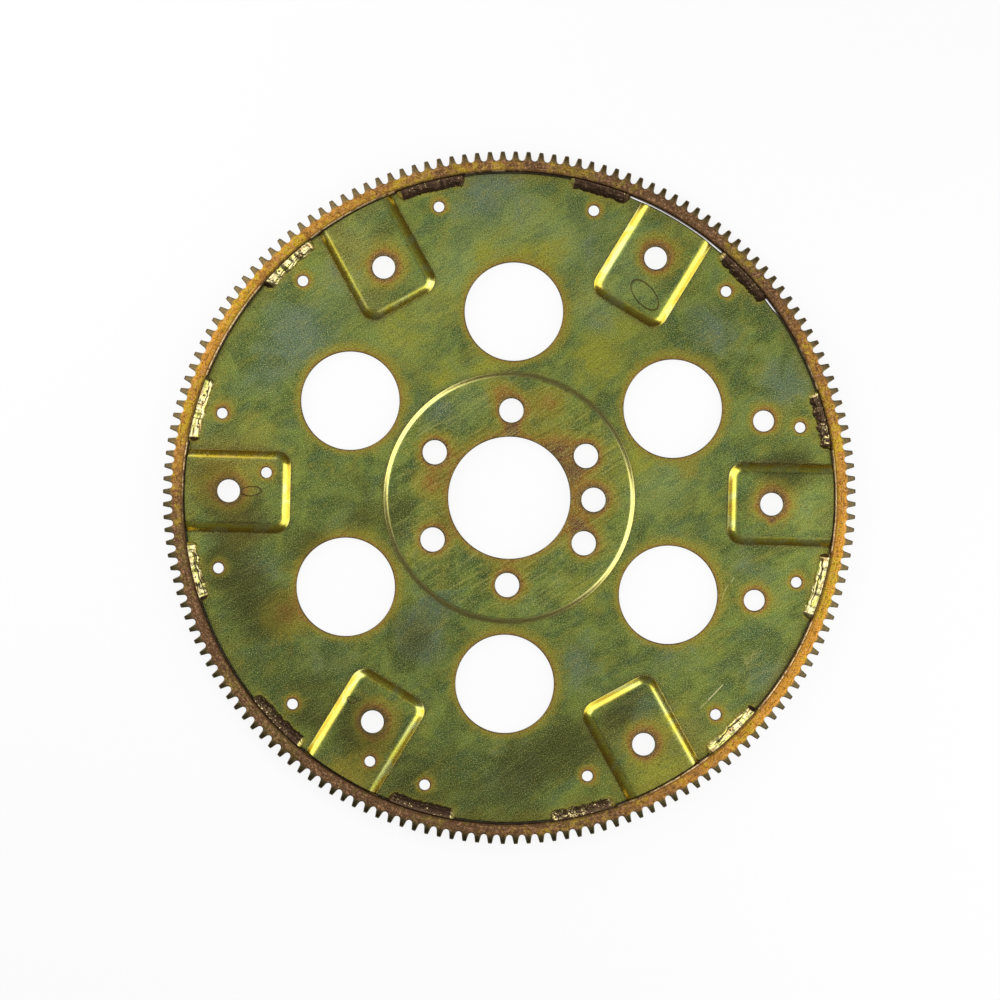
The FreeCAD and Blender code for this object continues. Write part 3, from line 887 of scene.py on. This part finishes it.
class Bead:
    """How one bead came out: its painted light and shade from black 0 to cream 1, its specks and
    its crack.

    A run is the distance along it, and a share is how far up it, from the disc 0 to the ring 1.
    """

    def __init__(self, number, span, tone, specks, crack):
        chance = random.Random(number)
        self.start = math.radians(span[0] - BEAD_OVERRUN)
        self.length = math.radians(span[1] - span[0] + 2 * BEAD_OVERRUN) * BEAD_REACH
        self.seed = number * 7.3
        self.tone = tone
        self.specks = specks
        self.crack = crack
        self.crater = self.length - chance.uniform(1.2, 1.8)
        # Each pit's run, share and width
        self.pits = []
        for _ in range(int(4 + specks * 12)):
            place = chance.uniform(1.5, self.length - 3)
            self.pits.append((place, chance.uniform(0.2, 0.85), chance.uniform(0.2, 0.5)))

    def noise(self, run, across, layer):
        """Smooth noise from about -1 to 1, another one for each bead and layer."""
        return noise.noise(Vector((run, across + self.seed, layer)))

    def section(self, run):
        """Leg along the disc, height up the ring, fullness from 0 to 1, and the toe's stray."""
        end = min(run, self.length - run) / BEAD_END
        size = math.sqrt(max(1 - (1 - min(end, 1)) ** 2, 0.0)) * 0.97 + 0.03
        leg = BEAD_LEG + 0.8 * self.noise(run * 0.28, 0, 1)
        toe = 0.75 * self.noise(run * 1.1, 0, 2)
        height = BEAD_HEIGHT + 0.5 * self.noise(run * 0.4, 0, 5) - 0.3
        return leg * size, min(height, BEAD_HEIGHT) * size, size, toe * size

    def relief(self, run, share):
        """How far the metal stands out, how sunk it is, and its painted light and shade, specks
        and streaks.
        """
        # Ripples bow forward in the middle, over folds along the bead with lumps on them
        rough = 1 - 0.65 * self.tone
        bow = 1.3 * (1 - (2 * share - 1) ** 2)
        wander = 0.9 * self.noise(run * 0.3, share * 1.5, 11)
        ripple = 0.03 * rough * math.sin((run + bow + wander) * math.tau / 1.2)
        folds = self.noise(run * 0.15, share * 6, 13)
        lumps = 0.15 * self.noise(run * 0.5, share * 4, 17)
        lumps = (lumps + 0.04 * self.noise(run * 1.6, share * 9, 19)) * rough
        # The crack wanders along the middle and closes towards both ends
        way = 0.46 + 0.10 * (1 - run / self.length) + 0.22 * self.noise(run * 0.12, 0, 23)
        along = min(1.0, max(0.0, (run - 0.14 * self.length) / 4))
        along *= min(1.0, max(0.0, (0.80 * self.length - run) / 4))
        width = (0.065 + 0.035 * self.noise(run * 0.4, 0, 29)) * (0.3 + 0.7 * along)
        groove = math.exp(-((share - way) / width) ** 2) * min(1.0, along * 3) * self.crack
        # The crater where the run ended, the pits, and the seams between folds
        bowl = math.exp(-((run - self.crater) / 1.0) ** 2 - ((share - 0.45) * 1.9) ** 4)
        pit = sum(
            math.exp(-((run - place) ** 2 + ((share - level) * 7) ** 2) / size ** 2)
            for place, level, size in self.pits
        )
        seam = max(0.0, min(1.0, (-folds - 0.32) * 4)) * self.tone
        sunk = min(1.0, groove + pit + seam * 0.7)
        out = ripple + 0.30 * folds + lumps - 0.5 * sunk - 0.6 * bowl
        # The crater is pale on a dark bead and dark on a pale one, and specks thin out late
        tone = self.tone + (1.3 if self.tone < 0.5 else -1.3) * bowl
        tone += 0.12 * self.noise(run * 0.25, share * 5, 31)
        specks = self.specks * (0.2 + 0.8 * min(1.0, 1.6 * (1 - run / self.length)))
        streak = self.noise(run * 0.17, share * 3.5, 37)
        return out, sunk, tone, specks, streak


def make_bead(number, span, looks, material):
    """One bead of weld metal, with its ripples, folds, pits and uneven toe."""
    bead = Bead(number, span, *looks)
    count = int(bead.length / BEAD_STEP)
    corner, floor = RING_BORE + BEAD_SUNK, SHEET_HIGH - BEAD_SUNK
    points = []
    looks_there = []
    for i in range(count + 1):
        run = bead.length * i / count
        angle = bead.start + run / BEAD_REACH
        leg, height, size, toe = bead.section(run)
        for j in range(BEAD_ACROSS + 1):
            share = j / BEAD_ACROSS
            turn = share * math.pi / 2
            swell = 0.66 + 0.16 * bead.noise(run * 0.4, share * 2, 7)
            across = leg * (1 - share) + (math.cos(turn) - 1 + share) * leg * swell
            across += toe * (1 - share) ** 5
            up = height * share + (math.sin(turn) - share) * height * swell
            out, sunk, tone, specks, streak = bead.relief(run, share)
            edge = min(1.0, share * 8, (1 - share) * 8)
            across += math.cos(turn) * out * size * edge * 0.75
            up += math.sin(turn) * out * size * edge * 0.75
            radius = corner - max(across, 0.02)
            points.append((radius * math.cos(angle), radius * math.sin(angle),
                           floor + max(up, 0.0)))
            looks_there.append((sunk * edge, tone, specks, streak))
        points.append((corner * math.cos(angle), corner * math.sin(angle), floor))
        looks_there.append((0.0, bead.tone, 0.0, 0.0))
    numbers = np.arange(len(points)).reshape(count + 1, -1).tolist()
    faces = []
    for first, second in zip(numbers, numbers[1:]):
        faces += strip(first, second)
    faces += [numbers[0], numbers[-1]]
    values = dict(zip(("sunk", "tone", "specks", "streak"), zip(*looks_there)))
    make_piece(
        f"weld_run_{number:02d}", points, faces, material,
        [f"weld_bead_{number:02d}"], values,
    )


# Finishes

def plated_sheet():
    """Yellow chromate on the disc: olive with clouds, a brown bloom at every cut edge."""
    graph = Graph("plated_sheet")
    spot = graph.place()
    x, y, _ = graph.split(spot)
    reach = graph.length(x, y)
    _, _, facing = graph.split(graph.node("ShaderNodeNewGeometry", {}, {}, 1))
    facing = abs(facing)

    clouds = graph.noise(spot, 0.055, 4.0, 0.58, 0.7)
    drift = graph.noise(graph.drawn_out(spot, ROLLED_WAY, 2.4), 0.11, 4.0, 0.6, 0.5)
    mottle = graph.noise(spot, 0.5, 3.0, 0.6)
    blotch = graph.noise(graph.drawn_out(spot, ROLLED_WAY, 1.6), 0.24, 4.0, 0.65, 0.8)
    grain = graph.noise(spot, 1.25, 3.0, 0.7)
    fine = graph.noise(spot, 2.0, 2.0, 0.6)
    streaks = graph.noise(graph.drawn_out(spot, ROLLED_WAY, 14.0), 1.0, 3.0, 0.6)
    wisps = graph.noise(graph.drawn_out(spot, ROLLED_WAY, 2.0), 0.10, 3.0, 0.5, 1.0)

    lime = graph.painted("lime") + (drift - 0.5) * 1.25 + (mottle - 0.5) * 0.3
    grey = graph.painted("grey") + (clouds - 0.5) * 1.8 + (drift - 0.5) * 0.6
    dark = graph.painted("dark") + (drift - 0.5) * 0.9
    gloom = graph.fade(dark, 0.3, 1.1)
    gold = graph.painted("gold")
    rim = graph.fade(reach + (drift - 0.5) * 24.0, 160.0, 169.0)
    stain = graph.painted("bloom") + (mottle - 0.5) * 0.25 + (blotch - 0.5) * 0.35
    olive = graph.mix(graph.fade(clouds, 0.36, 0.66), tint(60, 79, 38), tint(106, 122, 51))
    flat = graph.coats(olive, [
        ("pale green", graph.painted("light") * 0.8, (126, 142, 80)),
        ("lime", graph.fade(lime, 0.0, 0.85) * 0.88, (134, 134, 38)),
        ("grey", graph.fade(grey, 0.10, 0.85) * 0.9, (80, 99, 86)),
        ("green wisps", graph.fade(wisps, 0.46, 0.70) * 0.55, (60, 86, 60)),
        ("straw wisps", graph.fade(wisps, 0.48, 0.28) * 0.4, (124, 120, 42)),
        ("tan blotches", graph.fade(blotch, 0.53, 0.70) * 0.18, (134, 112, 38)),
        ("green blotches", graph.fade(blotch, 0.47, 0.31) * 0.2, (60, 88, 60)),
        ("dark", graph.fade(dark, 0.1, 1.0) * 0.8, (50, 55, 23)),
        ("tan rim", rim * 0.30, (120, 104, 36)),
        ("bloom, straw", graph.fade(stain, 0.05, 0.32) * 0.8, (130, 118, 36)),
        ("bloom, brown", graph.fade(stain, 0.32, 0.56) * 0.85, (136, 90, 36)),
        ("bloom, plum", graph.fade(stain, 0.54, 0.78) * 0.85, (96, 58, 46)),
        ("gloom", gloom * 0.5, (52, 54, 22)),
        ("gold", gold * 0.45, (122, 98, 30)),
    ])

    near_boss = graph.fade(reach, 76.0, 72.0)
    steepness = graph.fade(facing, 0.86, 0.76)
    wall = graph.coats(graph.mix(steepness, tint(234, 230, 92), tint(214, 184, 56)), [
        ("pale wisps", graph.fade(wisps, 0.46, 0.60) * 0.7, (214, 222, 144)),
        ("tan wisps", graph.fade(wisps, 0.44, 0.34) * 0.5, (212, 170, 70)),
        ("gold", gold * 0.7, (214, 172, 36)),
        ("cream by the boss", near_boss * 0.8, (232, 222, 140)),
    ])

    slope = graph.fade(facing, 0.988, 0.91)
    level = 1 - slope
    in_hub = graph.fade(reach, 66.0, 60.0)
    glints = graph.fade(fine, 0.51, 0.68) * (0.15 + level * 0.6) * (1 - gloom * 0.45)
    scribed, scraped = marks(graph, spot, x, y)
    colour = graph.coats(graph.mix(slope * 0.95, flat, wall), [
        # painted shade: a dark line in the creases at the foot of the pads and the boss
        ("painted shade in creases", graph.painted("crease_shade") * 0.75, (66, 42, 20)),
        # painted shade along the cut edges, and under the ring at the rim
        ("painted shade at cut edges", graph.fade(graph.painted("edge_shade"), 0.58, 0.82) * 0.9, (50, 32, 26)),
        ("pits", graph.fade(grain, 0.54, 0.30) * (0.06 + level * 0.72), (34, 35, 18)),
        ("glints", glints, (176, 176, 100)),
        ("pale rolling", graph.fade(streaks, 0.52, 0.74) * (0.2 + in_hub * 0.3), (156, 152, 80)),
        ("dark rolling", graph.fade(streaks, 0.48, 0.28) * (0.25 + in_hub * 0.2), (54, 57, 28)),
        ("scribed lines", scribed * 0.75, (62, 42, 26)),
        ("scrapes", scraped * 0.75, (206, 196, 140)),
    ])
    sheen = slope * (0.17 - near_boss * 0.04)
    roughness = 0.42 - sheen + (mottle - 0.5) * 0.14 + (grain - 0.5) * 0.12
    rough = grain * 0.8 + mottle * 0.4 + fine * 0.3 + streaks * (0.2 + in_hub * 0.4)
    height = rough * (0.07 + level * 0.93) - scribed * 1.8
    return graph.finish(colour, roughness, height, 0.05)


def marks(graph, spot, x, y):
    """Lines scribed into the pads, and pale scrapes: 1 on a line and 0 off it."""

    def beside(column, row, degrees):
        """The way from a place in the photograph, along an angle there and across it."""
        px, py = from_photo(column, row)
        return rotated(x - px, y - py, -math.radians(degrees) - PHOTO_TURN)

    scribed = []
    for column, row, degrees, half_length, half_width, line in OVALS:
        along, across = beside(column, row, degrees)
        off = abs(graph.length(along / half_length, across / half_width) - 1) * half_width
        scribed.append(graph.fade(off, line, line * 0.3))
    scraped = []
    for column, row, degrees, half_length, line, strength in SCRAPES:
        along, across = beside(column, row, degrees)
        ends = graph.fade(abs(along), half_length, half_length * 0.8)
        scraped.append(graph.fade(abs(across), line, line * 0.3) * ends * strength)
    swirl = graph.noise(spot, 0.24, 1.0, 0.5, 1.2)
    hair = graph.fade(abs(swirl - 0.5), 0.05, 0.015)
    knot = graph.fade(graph.length(*beside(*HAIRLINES, 0)), *HAIRLINES_FADE)
    scraped.append(hair * knot * 0.18)
    return [graph.maths("MINIMUM", sum(lines), 1.0) for lines in (scribed, scraped)]


def gear_steel():
    """Chromate on the ring's turned face, mottled orange and brown with painted light and shade,
    and its darker teeth.
    """
    graph = Graph("gear_steel")
    spot = graph.place()
    x, y, height_up = graph.split(spot)
    reach = graph.length(x, y)
    welded = graph.painted("welded")
    broad = graph.noise(spot, 0.06, 3.0, 0.6, 0.5)
    mottle = graph.noise(spot, 0.30, 4.0, 0.65, 0.5)
    grain = graph.noise(spot, 1.3, 3.0, 0.7)
    flecks = graph.noise(spot, 0.95, 3.0, 0.65, 0.4)
    round_it = graph.maths("ARCTAN2", y, x) * (ROOT_RADIUS * 0.10)
    turned = graph.noise(
        graph.node("ShaderNodeCombineXYZ", {}, {0: round_it, 1: reach * 1.5}), 1.0, 3.0, 0.6
    )
    # painted light and shade round the ring, with mottles on it
    tone = graph.painted("tone") + (broad - 0.5) * 1.2 + (mottle - 0.5) * 1.1

    face = graph.mix(graph.fade(tone, 0.05, 1.0), tint(102, 77, 52), tint(204, 144, 46))
    inward = graph.fade(reach, 174.0, 170.0) * 0.06 + welded * 0.10
    green = graph.fade(mottle + (broad - 0.5) * 0.9 + inward, 0.55, 0.70)
    ripe = graph.mix(graph.fade(tone, 0.0, 0.8), tint(108, 98, 48), tint(188, 168, 34))
    # painted shade: a dark band along the bore's edge
    bore_edge_shade = graph.fade(reach, RING_BORE + 1.7, RING_BORE + 1.2)
    ragged = reach + (mottle - 0.5) * 2.0 + (grain - 0.5) * 2.0
    scorched = graph.fade(ragged, RING_BORE + 1.3, RING_BORE + 0.3) * welded
    colour = graph.coats(graph.mix(green * 0.65, face, ripe), [
        ("pink flecks", graph.fade(flecks, 0.51, 0.66) * 0.65, (196, 146, 106)),
        ("brown flecks", graph.fade(flecks, 0.48, 0.30) * 0.85, (84, 48, 30)),
        ("turning lines", graph.fade(turned, 0.46, 0.32) * 0.7, (66, 42, 26)),
        ("edge line", bore_edge_shade * 0.5, (70, 46, 26)),
        ("scorch by a bead", scorched * 0.7, (66, 48, 28)),
    ])

    # painted highlight on the bore's chamfer: cream towards the lamps and dark brown away from
    # them, broken, and left off by the beads
    is_bare = 1 - graph.fade(welded, 0.1, 0.6)
    is_bare = is_bare * graph.fade(height_up, RING_WIDTH - 2.5, RING_WIDTH - 0.8)
    broken = graph.fade(mottle + (turned - 0.5) * 0.8 + (grain - 0.5) * 0.4, 0.38, 0.50)
    edge_highlight = graph.fade(reach, RING_BORE + 0.8, RING_BORE + 0.5) * is_bare * broken
    edge_lit_colour = graph.mix(graph.fade(tone, 0.25, 0.65), tint(86, 64, 42), tint(236, 206, 160))
    colour = graph.mix(edge_highlight * 0.85, colour, edge_lit_colour, "bright edge")
    pale_tooth = graph.painted("tooth") + (broad - 0.5) * 0.6
    tooth_colour = graph.mix(pale_tooth, tint(84, 76, 48), tint(118, 100, 66))
    colour = graph.mix(graph.fade(reach, 174.8, 176.6), colour, tooth_colour, "teeth")
    colour = graph.mix(graph.fade(grain, 0.55, 0.32) * 0.65, colour, tint(38, 26, 16), "pits")

    roughness = 0.42 + (mottle - 0.5) * 0.2
    height = grain * 0.8 + mottle * 0.4 + flecks * 0.5 + turned * 0.3
    return graph.finish(colour, roughness, height, 0.07)


def weld_metal():
    """Chromate on weld metal: painted light and shade make the beads that face the lamps pale
    cream and the rest dark brown; nearly black in its pits.
    """
    graph = Graph("weld_metal")
    spot = graph.place()
    mottle = graph.noise(spot, 0.6, 3.0, 0.6)
    grain = graph.noise(spot, 1.6, 3.0, 0.7)
    flecks = graph.noise(spot, 1.0, 2.0, 0.6, 0.6)
    tone = graph.painted("tone") + (mottle - 0.5) * 0.5
    # painted light and shade: pale cream on the beads that face the lamps, dark brown on the rest
    pale = graph.fade(tone, 0.2, 0.7)
    streak = graph.painted("streak") + (mottle - 0.5) * 0.4
    colour = graph.coats(graph.mix(pale, tint(92, 70, 54), tint(240, 226, 166)), [
        ("lime streaks", graph.fade(streak, 0.06, 0.30) * pale * 0.7, (206, 202, 80)),
        ("tan streaks", graph.fade(streak, -0.12, -0.34) * pale * 0.7, (186, 146, 84)),
    ])
    speck = graph.fade(flecks + graph.painted("specks") * 0.14, 0.67, 0.73)
    # the cream specks on the dark beads are painted glints; on the pale beads the specks are dark
    speck_colour = graph.mix(graph.fade(tone, 0.35, 0.5), tint(244, 226, 156), tint(44, 30, 22))
    sunk = graph.painted("sunk") + (grain - 0.5) * 0.4
    colour = graph.coats(graph.mix(speck * 0.85, colour, speck_colour, "specks"), [
        ("pits and cracks", graph.fade(sunk, 0.30, 0.60) * 0.9, (34, 24, 16)),
        ("dark grain", graph.fade(grain, 0.50, 0.34) * 0.35, (48, 36, 24)),
    ])
    roughness = 0.50 - pale * 0.2 - speck * 0.15 + (mottle - 0.5) * 0.2
    height = (grain * 0.6 + mottle) * (0.35 + pale * 0.65)
    return graph.finish(colour, roughness, height, 0.09)


# The stage: floor, lamps and camera

def make_floor():
    """A white floor, which shows a faint shadow and lights nothing more than paper does."""
    graph = Graph("floor_white")
    rays = [graph.node("ShaderNodeLightPath", {}, {}, kind)
            for kind in ("Is Camera Ray", "Is Glossy Ray", "Is Transmission Ray")]
    seen = graph.maths("MINIMUM", sum(rays), 1.0)
    paper = graph.node("ShaderNodeBsdfDiffuse", {}, {"Color": FLOOR_PAPER})
    glow = graph.node("ShaderNodeEmission", {}, {"Color": WHITE, "Strength": 1.0})
    surface = graph.node("ShaderNodeMixShader", {}, {0: seen * FLOOR_GLOW, 1: paper, 2: glow})
    graph.node("ShaderNodeOutputMaterial", {}, {"Surface": surface})
    mesh = bpy.data.meshes.new("floor")
    corners = [(x * FLOOR_HALF, y * FLOOR_HALF, FLOOR_LEVEL)
               for x, y in ((-1, -1), (1, -1), (1, 1), (-1, 1))]
    mesh.from_pydata(corners, [], [(0, 1, 2, 3)])
    mesh.materials.append(graph.material)
    floor = bpy.data.objects.new("floor", mesh)
    bpy.context.scene.collection.objects.link(floor)


def make_lamp(name, place, width, height, radiance):
    """A soft rectangular lamp that faces the part and shines with this brightness."""
    lamp = bpy.data.lights.new(name, "AREA")
    lamp.shape = "RECTANGLE"
    lamp.size = width
    lamp.size_y = height
    lamp.energy = radiance * width * height * math.pi
    holder = bpy.data.objects.new(name, lamp)
    holder.location = place
    holder.rotation_euler = (-Vector(place)).to_track_quat("-Z", "Y").to_euler()
    holder.visible_camera = False
    bpy.context.scene.collection.objects.link(holder)


def light_stage():
    """A broad lamp overhead, one low on each side, and a dim room."""
    overhead = (0.0, 0.0, OVERHEAD_LEVEL)
    make_lamp("lamp_overhead", overhead, OVERHEAD_WIDTH, OVERHEAD_WIDTH, OVERHEAD_RADIANCE)
    for number, (side, width) in enumerate(SIDE_LAMPS, 1):
        angle = math.radians(side) + PHOTO_TURN
        place = (SIDE_REACH * math.cos(angle), SIDE_REACH * math.sin(angle), SIDE_LEVEL)
        make_lamp(f"lamp_side_{number}", place, width, SIDE_HEIGHT, SIDE_RADIANCE)
    world = bpy.data.worlds.new("room")
    world.use_nodes = True
    background = world.node_tree.nodes["Background"]
    background.inputs["Color"].default_value = WHITE
    background.inputs["Strength"].default_value = ROOM_LIGHT
    bpy.context.scene.world = world


def make_camera():
    """Looks straight down, turned as the photograph is."""
    camera = bpy.data.cameras.new("camera")
    camera.sensor_width = CAMERA_SENSOR
    camera.lens = CAMERA_SENSOR * CAMERA_DISTANCE / FRAME_WIDTH
    camera.clip_end = CAMERA_SEES
    holder = bpy.data.objects.new("camera", camera)
    holder.location = (*CAMERA_PLACE, DISC_LEVEL + CAMERA_DISTANCE)
    holder.rotation_euler = (0.0, 0.0, PHOTO_TURN)
    bpy.context.scene.collection.objects.link(holder)
    bpy.context.scene.camera = holder


make_camera()
make_floor()
light_stage()
bpy.context.scene.view_settings.view_transform = "Standard"

make_plate(plated_sheet())
make_ring(gear_steel())
bead_finish = weld_metal()
for bead_number, (bead_span, bead_looks) in enumerate(zip(WELD_SPANS, WELD_LOOKS), 1):
    make_bead(bead_number, bead_span, bead_looks, bead_finish)
